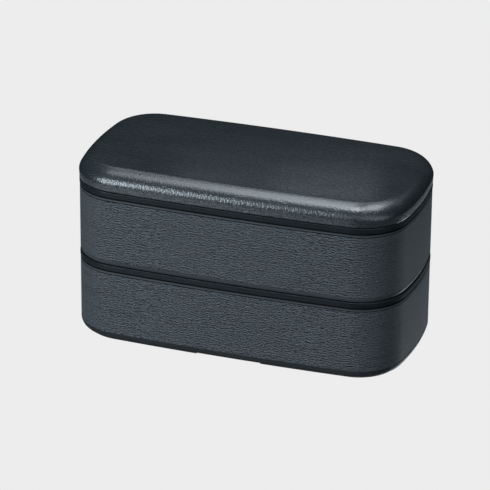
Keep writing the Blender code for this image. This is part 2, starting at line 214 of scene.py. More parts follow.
def shell_tree():
    """The sweep as a Geometry Nodes tree with named inputs."""
    group = bpy.data.node_groups.new("section_round_outline", "GeometryNodeTree")
    sockets = (("Outline", "INPUT", "NodeSocketGeometry"), ("Section", "INPUT", "NodeSocketObject"),
               ("Fold inset", "INPUT", "NodeSocketFloat"), ("Middle inset", "INPUT", "NodeSocketFloat"),
               ("Finish", "INPUT", "NodeSocketMaterial"), ("Shell", "OUTPUT", "NodeSocketGeometry"))
    for name, side, kind in sockets:
        group.interface.new_socket(name, in_out=side, socket_type=kind)
    tree = Tree(group)
    given = tree.node("NodeGroupInput").outputs
    fold = Wire(tree, given["Fold inset"])
    middle = Wire(tree, given["Middle inset"])

    def kept(geometry, value, kind="VECTOR"):
        made = tree.node("GeometryNodeCaptureAttribute")
        made.capture_items.new(kind, "Value")
        tree.link(geometry, made.inputs["Geometry"])
        tree.link(value, made.inputs["Value"])
        return made.outputs["Geometry"], made.outputs["Value"]

    def stored(geometry, name, value):
        made = tree.node("GeometryNodeStoreNamedAttribute", {"data_type": "FLOAT", "domain": "POINT"},
                         {"Geometry": geometry, "Name": name, "Value": value})
        return made.outputs["Geometry"]

    place = tree.node("GeometryNodeInputPosition").outputs["Position"]
    tangent = tree.node("GeometryNodeInputTangent").outputs["Tangent"]
    inwards = tree.vector("CROSS_PRODUCT", (0.0, 0.0, 1.0), tangent)
    outline, outline_place = kept(given["Outline"], place)
    outline, outline_inwards = kept(outline, inwards)
    info = tree.node("GeometryNodeObjectInfo", {"transform_space": "ORIGINAL"}, {"Object": given["Section"]})
    section, section_point = kept(info.outputs["Geometry"], place)
    section, section_radius = kept(section, tree.node("GeometryNodeInputRadius").outputs["Radius"], "FLOAT")
    swept = tree.node("GeometryNodeCurveToMesh", {}, {"Curve": outline, "Profile Curve": section})
    parts = tree.axes(section_point)
    inset = Wire(tree, parts["X"])
    shrink = 1 - (inset - fold).at_least(0.0) / (middle - fold)
    ring = tree.vector("ADD", outline_place, tree.scaled(outline_inwards, inset.at_most(fold)))
    flat = tree.axes(tree.scaled(ring, shrink))
    position = tree.node("ShaderNodeCombineXYZ", {}, {"X": flat["X"], "Y": flat["Y"], "Z": parts["Y"]})
    moved = tree.node("GeometryNodeSetPosition", {},
                      {"Geometry": swept.outputs["Mesh"], "Position": position.outputs["Vector"]})
    grained = stored(moved.outputs["Geometry"], "grain", parts["Z"])
    # The fourth number of the section: wear above zero, painted shade below zero
    marked_mesh = stored(grained, "wear", Wire(tree, section_radius) - 1)
    welded = tree.node("GeometryNodeMergeByDistance", {}, {"Geometry": marked_mesh, "Distance": WELD_DISTANCE})
    real = tree.node("GeometryNodeRealizeInstances", {}, {"Geometry": welded.outputs["Geometry"]})
    dressed = tree.node("GeometryNodeSetMaterial", {},
                        {"Geometry": real.outputs["Geometry"], "Material": given["Finish"]})
    tree.node("NodeGroupOutput", {}, {"Shell": dressed.outputs["Geometry"]})
    return group


SWEEP = shell_tree()
print("nodes in the sweep:", len(SWEEP.nodes))

# %% [markdown]
# ## From a modifier to a finished mesh
# A modifier that is left live is slow and can change later, so each shell is evaluated once and kept as
# a plain mesh. Its normals are then made to point outwards, and edges sharper than a set angle are
# marked, which keeps the moulded steps crisp and everything between them smooth. A curve's points carry
# a place and a radius, so the sweep reads the wear and the painted shade from the radius.

# %% Helpers that turn curves and modifiers into plain meshes
SHARP_ANGLE = math.radians(32)
MIDDLE_INSET = 0.060


def linked(name, data):
    """A new object in the scene."""
    made = bpy.data.objects.new(name, data)
    bpy.context.scene.collection.objects.link(made)
    return made


def curve_object(name, points, cyclic):
    """A poly curve through points of 2 to 4 numbers. The fourth, wear above zero and painted shade below it,
    goes into the radius.
    """
    data = bpy.data.curves.new(name, "CURVE")
    data.dimensions = "3D"
    spline = data.splines.new("POLY")
    spline.points.add(len(points) - 1)
    for point, place in zip(spline.points, points):
        values = (*place, *(0.0,) * (4 - len(place)))
        point.co = (*values[:3], 1.0)
        point.radius = 1.0 + values[3]
    spline.use_cyclic_u = cyclic
    return linked(name, data)


def baked(source):
    """The evaluated mesh of an object, whose modifiers and object are then gone."""
    bpy.context.view_layer.update()
    mesh = bpy.data.meshes.new_from_object(source.evaluated_get(bpy.context.evaluated_depsgraph_get()))
    bpy.data.objects.remove(source)
    return mesh


def outwards(mesh):
    """A mesh with doubled points merged and its faces turned to point out of the body."""
    shape = bmesh.new()
    shape.from_mesh(mesh)
    bmesh.ops.remove_doubles(shape, verts=shape.verts, dist=WELD_DISTANCE)
    bmesh.ops.recalc_face_normals(shape, faces=shape.faces)
    shape.to_mesh(mesh)
    shape.free()
    return mesh


def placed(name, mesh, body, node, offset):
    """A finished piece at the origin, with its place in its mesh, that rides a body and replaces a node."""
    mesh.name = name
    mesh.transform(Matrix.Translation(offset))
    mesh.shade_smooth()
    mesh.set_sharp_from_angle(angle=SHARP_ANGLE)
    made = linked(name, mesh)
    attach(made, body)
    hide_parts(node)
    print(name, "triangles:", sum(len(face.vertices) - 2 for face in mesh.polygons))


def swept_mesh(name, section, finish, fold_inset, cyclic=False):
    """A section carried round the outline with the Geometry Nodes tree."""
    path = curve_object(name, plan_outline(), True)
    profile = curve_object(name + "_section", section, cyclic)
    modifier = path.modifiers.new("sweep", "NODES")
    modifier.node_group = SWEEP
    values = {"Section": profile, "Fold inset": fold_inset, "Middle inset": MIDDLE_INSET, "Finish": finish}
    for item in SWEEP.interface.items_tree:
        if item.name in values:
            modifier[item.identifier] = values[item.name]
    mesh = baked(path)
    bpy.data.objects.remove(profile)
    return outwards(mesh)


# %% [markdown]
# A section is drawn as runs of points. A round stretch is an arc between two directions, and a smooth
# stretch is one with no grain.

# %% Helpers that draw a section
INWARDS, UP, OUTWARDS, DOWN = 0, 90, 180, 270


def arc(inset, height, radius, start, end, steps, wear=0.0):
    """Points on a round stretch of a section, between two directions, rubbed most at its middle. On an inner
    lid's edge the rubbing is also a painted highlight.
    """
    points = []
    for step in range(steps + 1):
        angle = math.radians(start + (end - start) * step / steps)
        rubbed_and_highlight = wear * math.sin(math.pi * step / steps)
        points.append((inset + radius * math.cos(angle), height + radius * math.sin(angle), 0.0, rubbed_and_highlight))
    return points


def smooth(points, wear=0.0):
    """Section points that carry no grain. A negative wear marks painted shade, a dark patch painted where
    shade falls.
    """
    return [(point[0], point[1], 0.0, wear) for point in points]


# %% [markdown]
# Small round parts are turned as on a lathe, with the Screw modifier. Boolean modifiers then join them to
# a shell or cut them out of it, and the result is cleaned like every other mesh.

# %% Helpers that make, turn and join solids


def bmesh_result(name, shape):
    """A mesh made from a bmesh, which is then gone."""
    mesh = bpy.data.meshes.new(name)
    shape.to_mesh(mesh)
    shape.free()
    return mesh


def cut(mesh, tools):
    """A mesh after Booleans with (mesh, place, operation) tools, which are then gone."""
    target = linked("target", mesh)
    helpers = []
    for tool_mesh, place, operation in tools:
        tool_mesh.transform(Matrix.Translation(place))
        helpers.append(linked("tool", tool_mesh))
        modifier = target.modifiers.new("join", "BOOLEAN")
        modifier.object = helpers[-1]
        modifier.operation = operation
        modifier.solver = "EXACT"
    result = outwards(baked(target))
    for tool in helpers:
        bpy.data.objects.remove(tool)
    return result


def turned(name, profile, steps):
    """A solid of revolution about Z from (radius, height) points, top to bottom."""
    outline = bpy.data.meshes.new(name)
    links = [(index, index + 1) for index in range(len(profile) - 1)]
    outline.from_pydata([(radius, 0.0, height) for radius, height in profile], links, [])
    made = linked(name, outline)
    screw = made.modifiers.new("turn", "SCREW")
    screw.steps = steps
    screw.render_steps = steps
    screw.use_merge_vertices = True
    screw.merge_threshold = WELD_DISTANCE
    return outwards(baked(made))


# %% [markdown]
# ## Finishes
# All the finishes are made from noise in the object's own coordinates and from the two attributes that the
# sweep leaves on the mesh. So they need no unwrapping, and they stay on a piece when it moves. In the
# helpers below, a shade is a place between a dark and a light colour, and a dullness is a roughness.

# %% Shared parts of the finishes
RUBBED_START = 0.35
RUBBED_CONTRAST = 3.0


def plastic(name, roughness, specular):
    """A Principled material with fixed gloss values. Gives the material, its tree and its shader."""
    made = bpy.data.materials.new(name)
    made.use_nodes = True
    shader = made.node_tree.nodes["Principled BSDF"]
    shader.inputs["Roughness"].default_value = roughness
    shader.inputs["Specular IOR Level"].default_value = specular
    return made, Tree(made.node_tree), shader


def noise(tree, place, per_metre, detail, roughness=0.5):
    """Noise whose cells have the given number to a metre along X, Y and Z."""
    stretched = tree.vector("MULTIPLY", place, per_metre)
    sockets = {"Vector": stretched, "Scale": 1.0, "Detail": detail, "Roughness": roughness}
    return tree.number("ShaderNodeTexNoise", {"noise_dimensions": "3D"}, sockets, "Fac")


def surface(tree):
    """The object's own coordinates, and the masks for grain, for rubbed edges that also carry a painted
    highlight, and for painted shade.
    """
    place = tree.node("ShaderNodeTexCoord").outputs["Object"]
    grain = tree.number("ShaderNodeAttribute", {"attribute_name": "grain"}, {}, "Fac")
    wear = tree.number("ShaderNodeAttribute", {"attribute_name": "wear"}, {}, "Fac")
    patches = noise(tree, place, per_metre=(260.0, 260.0, 260.0), detail=3.0, roughness=0.6)
    # Rubbed wear, which on the smooth pieces is strong enough to be a painted highlight
    rubbed_and_highlight = (wear * ((patches - RUBBED_START) * RUBBED_CONTRAST)).clamped()
    # Below zero the wear is painted shade, given back as the last mask
    return place, grain, rubbed_and_highlight, (0.0 - wear).at_least(0.0)


def blended(tree, shade, dark, light):
    """A colour between two."""
    sockets = {"Factor": shade, "A": (*dark, 1.0), "B": (*light, 1.0)}
    return tree.node("ShaderNodeMix", {"data_type": "RGBA"}, sockets).outputs["Result"]


def dress(tree, shader, colour, dullness, relief, depth):
    """Links what varies over the surface to the shader."""
    bump = tree.node("ShaderNodeBump", {}, {"Strength": 1.0, "Distance": depth, "Height": relief})
    tree.link(colour, shader.inputs["Base Color"])
    tree.link(dullness, shader.inputs["Roughness"])
    tree.link(bump.outputs["Normal"], shader.inputs["Normal"])


# %% [markdown]
# The walls are moulded in a tool with a fine grain: short ripples that run along the wall, a little over a
# millimetre apart. The cover has longer lines along its length. The sine of a level makes both, so they
# stay level round a corner with no seam. Noise then bends them and breaks them into dashes, because a
# moulded grain is never ruled straight.

# %% The ripples that the walls and the cover share
RIPPLES_PER_METRE = 760.0
SLOW_BEND = 8.0
QUICK_BEND = 3.0
DASH_CONTRAST = 3.4
DASH_LIFT = 0.10


def rippled(tree, place, level, dashes_per_metre, bend):
    """Fine ripples, bent a little and broken into dashes: 0 in a hollow and 1 on a crest."""
    slow = noise(tree, place, per_metre=(120.0, 120.0, 170.0), detail=1.0)
    quick = noise(tree, place, per_metre=(520.0, 520.0, 600.0), detail=1.0)
    dashes = noise(tree, place, dashes_per_metre, detail=1.0)
    turn = level * (2 * math.pi * RIPPLES_PER_METRE) + slow * (SLOW_BEND * bend) + quick * (QUICK_BEND * bend)
    return (turn.sine() * ((dashes - 0.5) * DASH_CONTRAST + DASH_LIFT) + 0.5).clamped()


# %% [markdown]
# ## The grained walls
# A few long thin creases run along the walls, in patches. A slow noise draws such lines wherever it
# crosses its middle value, which is simpler than placing them one by one.

# %% Long thin creases
CREASE_SHARPNESS = 17.0
CREASE_PATCH_CONTRAST = 12.0


def creased(tree, place):
    """A few long thin creases that run along the wall: 1 on a crease."""
    drift = noise(tree, place, per_metre=(7.0, 7.0, 400.0), detail=0.0)
    patches = noise(tree, place, per_metre=(22.0, 22.0, 150.0), detail=1.0)
    lines = (1 - abs(drift - 0.5) * CREASE_SHARPNESS).at_least(0.0)
    return lines * ((patches - 0.5) * CREASE_PATCH_CONTRAST).clamped()


# %% [markdown]
# A moulded grain shows in two ways: its crests are lighter than its hollows, and they tilt the light. So
# one relief drives the colour, the gloss and the bump together, and fine pores break up its crests. The
# grain is calmer towards both ends of the box. Where the mesh marks painted shade, the plastic is painted
# almost black and made dull, standing for the shade in a real narrow gap and under the box.

# %% The grained walls
WALL_ROUGHNESS = 0.40
GRAIN_DULLNESS = 0.05
CREST_DULLNESS = 0.12
CLOUD_DULLNESS = 0.06
RUBBED_POLISH = 0.10
PAINTED_SHADE_DULLNESS = 0.4
SMOOTH_SHADE = 0.42
PORE_SHADE = 1.4
CLOUD_SHADE = 0.1
RUBBED_SHADE = 0.15
CREASE_SHADE = 0.10
PORE_HEIGHT = 0.6
CREASE_HEIGHT = 0.25
CALM_START = 0.062
CALM_END = 0.080
CALM_SHARE = 0.6


def grained_wall():
    """Level ripples on the walls, fading out where the grain mask falls to nothing."""
    made, tree, shader = plastic("grained_wall", WALL_ROUGHNESS, specular=0.18)
    place, grain, rubbed_and_highlight, painted_shade = surface(tree)
    parts = tree.axes(place)
    calm = ((abs(Wire(tree, parts["X"])) - CALM_START) / (CALM_END - CALM_START)).clamped()
    strength = grain * (1 - CALM_SHARE * calm)
    relief = rippled(tree, place, Wire(tree, parts["Z"]), dashes_per_metre=(460.0, 460.0, 350.0), bend=0.9)
    creases = creased(tree, place) * grain
    clouds = noise(tree, place, per_metre=(38.0, 38.0, 90.0), detail=2.0) - 0.5
    pores = noise(tree, place, per_metre=(1000.0, 1000.0, 1700.0), detail=1.0)
    shade = (relief + (pores - 0.5) * PORE_SHADE) * strength
    shade = shade + (0.5 * (grain - strength) + SMOOTH_SHADE * (1 - grain))
    # Rubbed wear lightens a little, and painted shade darkens towards black
    shade = shade + clouds * CLOUD_SHADE + rubbed_and_highlight * RUBBED_SHADE - creases * CREASE_SHADE - painted_shade
    colour = blended(tree, shade, dark=(0.0020, 0.0022, 0.0024), light=(0.078, 0.086, 0.092))
    dullness = WALL_ROUGHNESS + grain * (GRAIN_DULLNESS + CREST_DULLNESS * relief)
    dullness = dullness + CLOUD_DULLNESS * clouds - RUBBED_POLISH * rubbed_and_highlight + PAINTED_SHADE_DULLNESS * painted_shade
    height = (relief + pores * PORE_HEIGHT) * strength - creases * CREASE_HEIGHT
    dress(tree, shader, colour, dullness, height, depth=0.00012)
    return made


GRAINED_WALL = grained_wall()
print("finish:", GRAINED_WALL.name, "with", len(GRAINED_WALL.node_tree.nodes), "nodes")

# %% [markdown]
# ## The cover's finish
# The cover has more gloss than the walls, and its grain is so shallow that the top only looks brushed.
# Low on the edge the grain is deeper, and there it breaks the bright streak of the main light into
# sparkle. A weak and duller coat over the gloss gives that streak a soft skirt. The edge is told from the
# top by its height, because the top is level.

# %% The cover's finish
COVER_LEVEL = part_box("outer_lid")[1].z
COVER_ROUGHNESS = 0.20
COVER_COAT = 0.15
COVER_COAT_ROUGHNESS = 0.4
COVER_GRAIN_DULLNESS = 0.02
COVER_HOLLOW_DULLNESS = 0.10
COVER_CLOUD_DULLNESS = 0.04
COVER_RUBBED_POLISH = 0.05
COVER_CLOUD_SHADE = 0.3
COVER_RUBBED_SHADE = 0.2
LINE_HEIGHT = 0.15
SPARKLE_HEIGHT = 0.6
EDGE_SPARKLE_HEIGHT = 1.7
EDGE_START = 0.0020
EDGE_REACH = 0.0030


def lined_cover():
    """Fine lines along the length of the cover, with a grainy gloss."""
    made, tree, shader = plastic("lined_cover", COVER_ROUGHNESS, specular=0.5)
    shader.inputs["Coat Weight"].default_value = COVER_COAT
    shader.inputs["Coat Roughness"].default_value = COVER_COAT_ROUGHNESS
    place, grain, rubbed_and_highlight, _ = surface(tree)
    parts = tree.axes(place)
    level = Wire(tree, parts["Z"]) - abs(Wire(tree, parts["Y"]))
    relief = rippled(tree, place, level, dashes_per_metre=(330.0, 600.0, 600.0), bend=0.3)
    sparkle = noise(tree, place, per_metre=(1250.0, 850.0, 850.0), detail=1.0)
    edge = ((COVER_LEVEL - EDGE_START - Wire(tree, parts["Z"])) / EDGE_REACH).clamped()
    clouds = noise(tree, place, per_metre=(25.0, 60.0, 60.0), detail=2.0) - 0.5
    shade = relief * grain + 0.5 * (1 - grain) + clouds * COVER_CLOUD_SHADE + rubbed_and_highlight * COVER_RUBBED_SHADE
    colour = blended(tree, shade, dark=(0.0010, 0.0014, 0.0018), light=(0.022, 0.028, 0.031))
    dullness = COVER_ROUGHNESS + grain * (COVER_GRAIN_DULLNESS + COVER_HOLLOW_DULLNESS * (1 - relief))
    dullness = dullness + COVER_CLOUD_DULLNESS * clouds - COVER_RUBBED_POLISH * rubbed_and_highlight
    height = (relief * LINE_HEIGHT + sparkle * (SPARKLE_HEIGHT + EDGE_SPARKLE_HEIGHT * edge)) * grain
    dress(tree, shader, colour, dullness, height, depth=0.00009)
    return made


LINED_COVER = lined_cover()
print("finish:", LINED_COVER.name, "with", len(LINED_COVER.node_tree.nodes), "nodes")

# %% [markdown]
# ## The smooth pieces
# The inner lids, the valves, the gaskets and the divider aren't grained. Real smooth mouldings still
# aren't perfect: a faint haze and very fine speckle vary their gloss, and silicone picks up a little
# dust. One function makes all of them from two colours, a roughness and the depth of the speckle.

# %% The smooth pieces' finishes
SPECK_START = 0.62
SPECK_CONTRAST = 8.0
BASE_SHADE = 0.12
HAZE_SHADE = 0.20
SPECK_SHADE = 0.15
HAZE_DULLNESS = 0.12
SPECK_DULLNESS = 0.08
SMOOTH_RUBBED_POLISH = 0.08


def smooth_piece(name, dark, light, roughness, specular, speckle_depth):
    """A smooth moulding with haze in its gloss, a very fine speckle, rubbed edges lightened into a painted
    highlight, and painted shade.
    """
    made, tree, shader = plastic(name, roughness, specular)
    place, _, rubbed_and_highlight, painted_shade = surface(tree)
    haze = noise(tree, place, per_metre=(70.0, 70.0, 140.0), detail=3.0, roughness=0.6)
    speckle = noise(tree, place, per_metre=(2600.0, 2600.0, 2600.0), detail=2.0)
    specks = ((speckle - SPECK_START) * SPECK_CONTRAST).clamped()
    # The rubbed mask adds at full strength as a painted highlight on rubbed edges, and painted shade takes
    # away
    shade = BASE_SHADE + haze * HAZE_SHADE + specks * SPECK_SHADE + rubbed_and_highlight - painted_shade
    colour = blended(tree, shade, dark, light)
    dullness = roughness + HAZE_DULLNESS * (haze - 0.5) + SPECK_DULLNESS * specks
    dullness = dullness - SMOOTH_RUBBED_POLISH * rubbed_and_highlight + PAINTED_SHADE_DULLNESS * painted_shade
    dress(tree, shader, colour, dullness, speckle, speckle_depth)
    return made


# The satin black's light colour is reached mostly on the rubbed top edge of an inner lid's band, as a painted
# highlight
SATIN_BLACK = smooth_piece("satin_black", dark=(0.0008, 0.0014, 0.0017), light=(0.0178, 0.0268, 0.0295),
                           roughness=0.38, specular=0.14, speckle_depth=0.000004)
SILICONE = smooth_piece("grey_silicone", dark=(0.060, 0.062, 0.064), light=(0.170, 0.172, 0.175),
                        roughness=0.60, specular=0.3, speckle_depth=0.000010)
DIVIDER_BLACK = smooth_piece("divider_black", dark=(0.020, 0.023, 0.025), light=(0.070, 0.076, 0.080),
                             roughness=0.46, specular=0.4, speckle_depth=0.000008)
print("smooth finishes:", [made.name for made in (SATIN_BLACK, SILICONE, DIVIDER_BLACK)])

# %% [markdown]
# ## The two tiers
# A tier is a plain tub: round rim, a smooth lip, a scribed line, the grained wall, a second line, a round
# bottom edge and a foot ring with a gap for water to drain. The tier that stands on the table has a
# slightly wider foot than the one that sits in a lid's recess, so its foot and gap show from the front.

# %% The sizes of a tier
WALL = 0.0020
FLOOR = 0.0020
BOTTOM_RADIUS = 0.0046
INNER_FILLET = 0.0050
RIM_ROUND = 0.0005
LIP_HEIGHT = 0.00155
LINE_DEPTH = 0.00036
LINE_WIDTH = 0.0005
LINE_FLOOR = 0.0002
FOOT_INSET = 0.0049
STANDING_FOOT_INSET = 0.0039
FOOT_WIDTH = 0.0030
FOOT_HEIGHT = 0.0008
FOOT_CHAMFER = 0.0002
FOOT_GAP_LENGTH = 0.035
FOOT_GAP_LEFT = 0.0001
FOLD_INSET = 0.0120
OVERSHOOT = 0.0005
FLOOR_TOP = FOOT_HEIGHT + FLOOR
ROUNDING_TOP = FOOT_HEIGHT + BOTTOM_RADIUS
FOOT_INNER = FOOT_INSET + FOOT_WIDTH
CONTAINER_HEIGHT = container_high.z - container_low.z
print("one tier, mm high:", round(CONTAINER_HEIGHT * 1000, 1))

# %% [markdown]
# A scribed line is a groove with a flat floor, and its floor is painted dark as painted shade. The same
# painted shade darkens the rounding of the tier that sits in a lid, and a little the low edge of the tier
# that stands on the table, where it is a painted shadow. It stands for the deep shade of a narrow gap,
# which soft lamps all round would wash out.

# %% Dark lines and shade on a tier
# How dark the painted shade is, and between which heights
SEATED_DARKNESS = 0.85
SEATED_DARK_LOW = 0.0025
SEATED_DARK_HIGH = 0.0033
STANDING_LINE_LOW = 0.0044
STANDING_LINE_DARKNESS = 0.30
STANDING_DARKNESS = 0.13


def scribed(height, depth, darkness, above, below):
    """A line round the wall with a flat floor painted dark as painted shade, and the grain above and below
    it.
    """
    floor = smooth([(depth, height + LINE_FLOOR / 2), (depth, height - LINE_FLOOR / 2)], -darkness)
    return [(0.0, height + LINE_WIDTH / 2, above)] + floor + [(0.0, height - LINE_WIDTH / 2, below)]


def rounding_darkness(height, seated):
    """How dark the painted shade on the bottom rounding is at a height, in a tier that sits in a lid or
    stands on the table.
    """
    if seated:
        return SEATED_DARKNESS if SEATED_DARK_LOW < height < SEATED_DARK_HIGH else 0.0
    return STANDING_LINE_DARKNESS if height > STANDING_LINE_LOW else STANDING_DARKNESS


# %% [markdown]
# The section runs from the middle of the food side, over the rim, down the outside and in under the foot
# to the middle again. The grain is full between the two scribed lines and nothing elsewhere.

# %% The section of a tier


def container_section(seated):
    """From the middle of the food side to the middle of the underside."""
    rim = CONTAINER_HEIGHT
    section = smooth([(MIDDLE_INSET, FLOOR_TOP), (FOLD_INSET, FLOOR_TOP)])
    section += arc(WALL + INNER_FILLET, FLOOR_TOP + INNER_FILLET, INNER_FILLET, DOWN, OUTWARDS, steps=10)
    section += arc(WALL - RIM_ROUND, rim - RIM_ROUND, RIM_ROUND, INWARDS, UP, steps=4, wear=0.6)
    outer_rim = arc(RIM_ROUND, rim - RIM_ROUND, RIM_ROUND, UP, OUTWARDS, steps=4)
    # Painted shade: the rim is painted dark where it lies under an inner lid, and comes out of it in its last
    # two points
    section += smooth(outer_rim[:-2], wear=-1.0) + smooth(outer_rim[-2:-1], wear=-0.6) + outer_rim[-1:]
    section += scribed(rim - LIP_HEIGHT, LINE_DEPTH, darkness=1.0, above=0.0, below=1.0)
    section += scribed(ROUNDING_TOP, LINE_DEPTH / 2, darkness=0.3, above=1.0, below=0.0)
    foot = FOOT_INSET if seated else STANDING_FOOT_INSET
    foot_reach = max(BOTTOM_RADIUS - foot, 0.0)
    foot_top = ROUNDING_TOP - math.sqrt(BOTTOM_RADIUS ** 2 - foot_reach ** 2)
    # The bottom rounding carries painted shade: in a lid's recess, and as a painted shadow on the table
    for point in arc(BOTTOM_RADIUS, ROUNDING_TOP, BOTTOM_RADIUS, OUTWARDS, DOWN, steps=24)[1:]:
        if point[0] < foot:
            section += smooth([point], -rounding_darkness(point[1], seated))
    # The foot's outer face carries the same painted shadow
    section += smooth([(foot, foot_top), (foot, FOOT_CHAMFER)], -STANDING_DARKNESS)
    section += smooth([(foot + FOOT_CHAMFER, 0.0), (FOOT_INNER - FOOT_CHAMFER, 0.0)], wear=1.0)
    return section + smooth([(FOOT_INNER, FOOT_CHAMFER), (FOOT_INNER, FOOT_HEIGHT),
                             (FOLD_INSET, FOOT_HEIGHT), (MIDDLE_INSET, FOOT_HEIGHT)])


# %% [markdown]
# The sweep gives a whole tub. One box then cuts the drain gap through both long sides of its foot, so the
# section can stay the same all the way round.

# %% The tiers


def box_mesh(size_x, size_y, size_z):
    """A box centred on its own origin."""
    shape = bmesh.new()
    bmesh.ops.create_cube(shape, size=1.0)
    bmesh.ops.scale(shape, vec=(size_x, size_y, size_z), verts=shape.verts)
    return bmesh_result("box", shape)


def container(tier):
    """One tier, with its drain gap cut through both long sides of the foot."""
    node = tier + "_container"
    mesh = swept_mesh(node, container_section(tier == "upper"), GRAINED_WALL, FOLD_INSET)
    depth = FOOT_HEIGHT - FOOT_GAP_LEFT
    gap = box_mesh(FOOT_GAP_LENGTH, WIDTH, depth + OVERSHOOT)
    mesh = cut(mesh, [(gap, (0.0, 0.0, (depth - OVERSHOOT) / 2), "DIFFERENCE")])
    placed(tier + "_tub", mesh, tier + "_tier", node, (0.0, 0.0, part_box(node)[0].z))


container("lower")
container("upper")

# %% [markdown]
# ## The inner lids
# The smooth black band between the tiers is the rim of an inner lid. Its top is a cove that the next
# piece's rounding sits in, and under it a plug reaches into the tier, with a groove for the gasket.

# %% The sizes of an inner lid
SEAT_GAP = 0.0003
FLANGE_HEIGHT = 0.00305
FLANGE_PROUD = 0.00015
FLANGE_ROUND = 0.0003
FLANGE_UNDERCUT = 0.0004
PANEL = 0.0016
PLUG_CLEARANCE = 0.0008
PLUG_DEPTH = 0.0055
PLUG_WALL = 0.0031
PLUG_CHAMFER = 0.0006
PLUG_FILLET = 0.0010
GROOVE_TOP = 0.0013
GROOVE_HEIGHT = 0.0028
GROOVE_DEPTH = 0.0016
PLUG_OUTER = WALL + PLUG_CLEARANCE
PLUG_INNER = PLUG_OUTER + PLUG_WALL
GROOVE_LOW = -GROOVE_TOP - GROOVE_HEIGHT
GROOVE_BACK = PLUG_OUTER + GROOVE_DEPTH
print("plug, mm from the wall's outer face:", round(PLUG_OUTER * 1000, 2), "to", round(PLUG_INNER * 1000, 2))

# %% [markdown]
# The cove is drawn about the centre of the rounding that sits in it, so the gap between them is the same
# all along. The band is undercut where it meets the tier, and the undercut is painted dark as painted
# shade, which together draw a thin dark line. The band's rubbed top edge is lightened into a painted
# highlight.

# %% The section of an inner lid


def cove(radius, low, high, steps):
    """An arc about the centre of a nested container's bottom rounding, between two heights."""
    centre = SEAT_GAP + ROUNDING_TOP
    start = math.degrees(math.asin((low - centre) / radius))
    end = math.degrees(math.asin((high - centre) / radius))
    return arc(BOTTOM_RADIUS, centre, radius, OUTWARDS - start, OUTWARDS - end, steps)


def inner_lid_section():
    """From the middle of the recess floor, over the rim and down the plug, to the underside."""
    face = -FLANGE_PROUD
    section = smooth([(MIDDLE_INSET, 0.0), (FOLD_INSET, 0.0), (FOOT_INSET - SEAT_GAP, 0.0)])
    section += cove(BOTTOM_RADIUS + SEAT_GAP, SEAT_GAP + FOOT_HEIGHT, FLANGE_HEIGHT, steps=12)
    # The top edge is rubbed, and its lightening is also a painted highlight
    section += arc(face + FLANGE_ROUND, FLANGE_HEIGHT - FLANGE_ROUND, FLANGE_ROUND, UP, OUTWARDS,
                   steps=4, wear=0.8)
    section += smooth([(face, FLANGE_UNDERCUT)])
    undercut = face + FLANGE_UNDERCUT
    # The undercut is painted dark as painted shade
    section += smooth([(undercut, FLANGE_UNDERCUT / 2), (undercut, 0.0)], wear=-1.0)
    section += smooth([(PLUG_OUTER, 0.0),
                       (PLUG_OUTER, -GROOVE_TOP), (GROOVE_BACK, -GROOVE_TOP),
                       (GROOVE_BACK, GROOVE_LOW), (PLUG_OUTER, GROOVE_LOW),
                       (PLUG_OUTER, -PLUG_DEPTH + PLUG_CHAMFER), (PLUG_OUTER + PLUG_CHAMFER, -PLUG_DEPTH),
                       (PLUG_INNER, -PLUG_DEPTH)])
    section += arc(PLUG_INNER + PLUG_FILLET, -PANEL - PLUG_FILLET, PLUG_FILLET, OUTWARDS, UP, steps=6)
    return section + smooth([(FOLD_INSET, -PANEL), (MIDDLE_INSET, -PANEL)])


# %% [markdown]
# One end of the panel holds an air valve: a boss below, a round seat above and a thumbnail scoop beside
# it. The seat follows from the valve's own sizes and a clearance, so the two always fit.

# %% The sizes of an air valve and its seat
VENT_BUTTON_RADIUS = 0.0054
VENT_BUTTON_HEIGHT = 0.0009
VENT_BUTTON_ROUND = 0.0003
VENT_BUTTON_SINK = 0.00015
VENT_STEM_RADIUS = 0.0020
VENT_BEAD_RADIUS = 0.0030
VENT_BEAD_HEIGHT = 0.0010
VENT_TRAVEL = 0.0010
VENT_CLEARANCE = 0.0003
VENT_BOSS_RIM = 0.0030
VENT_BOSS_FLOOR = 0.0017
VENT_SCOOP_RADIUS = 0.0070
VENT_STEPS = 64
VENT_HOLE_RADIUS = VENT_STEM_RADIUS + VENT_CLEARANCE
VENT_SEAT_RADIUS = VENT_BUTTON_RADIUS + VENT_CLEARANCE
VENT_SEAT_DEPTH = VENT_BUTTON_SINK + VENT_BUTTON_HEIGHT + VENT_CLEARANCE
VENT_BOSS_RADIUS = VENT_SEAT_RADIUS + VENT_BOSS_RIM
VENT_BOSS_DEPTH = VENT_SEAT_DEPTH + VENT_BOSS_FLOOR
print("valve seat, mm deep:", round(VENT_SEAT_DEPTH * 1000, 2))

# %% [markdown]
# The boss and the seat are turned solids, and the scoop is part of a ball. The boss is joined to the lid
# first, because the seat and its hole are cut through both.

# %% An inner lid with its valve seat


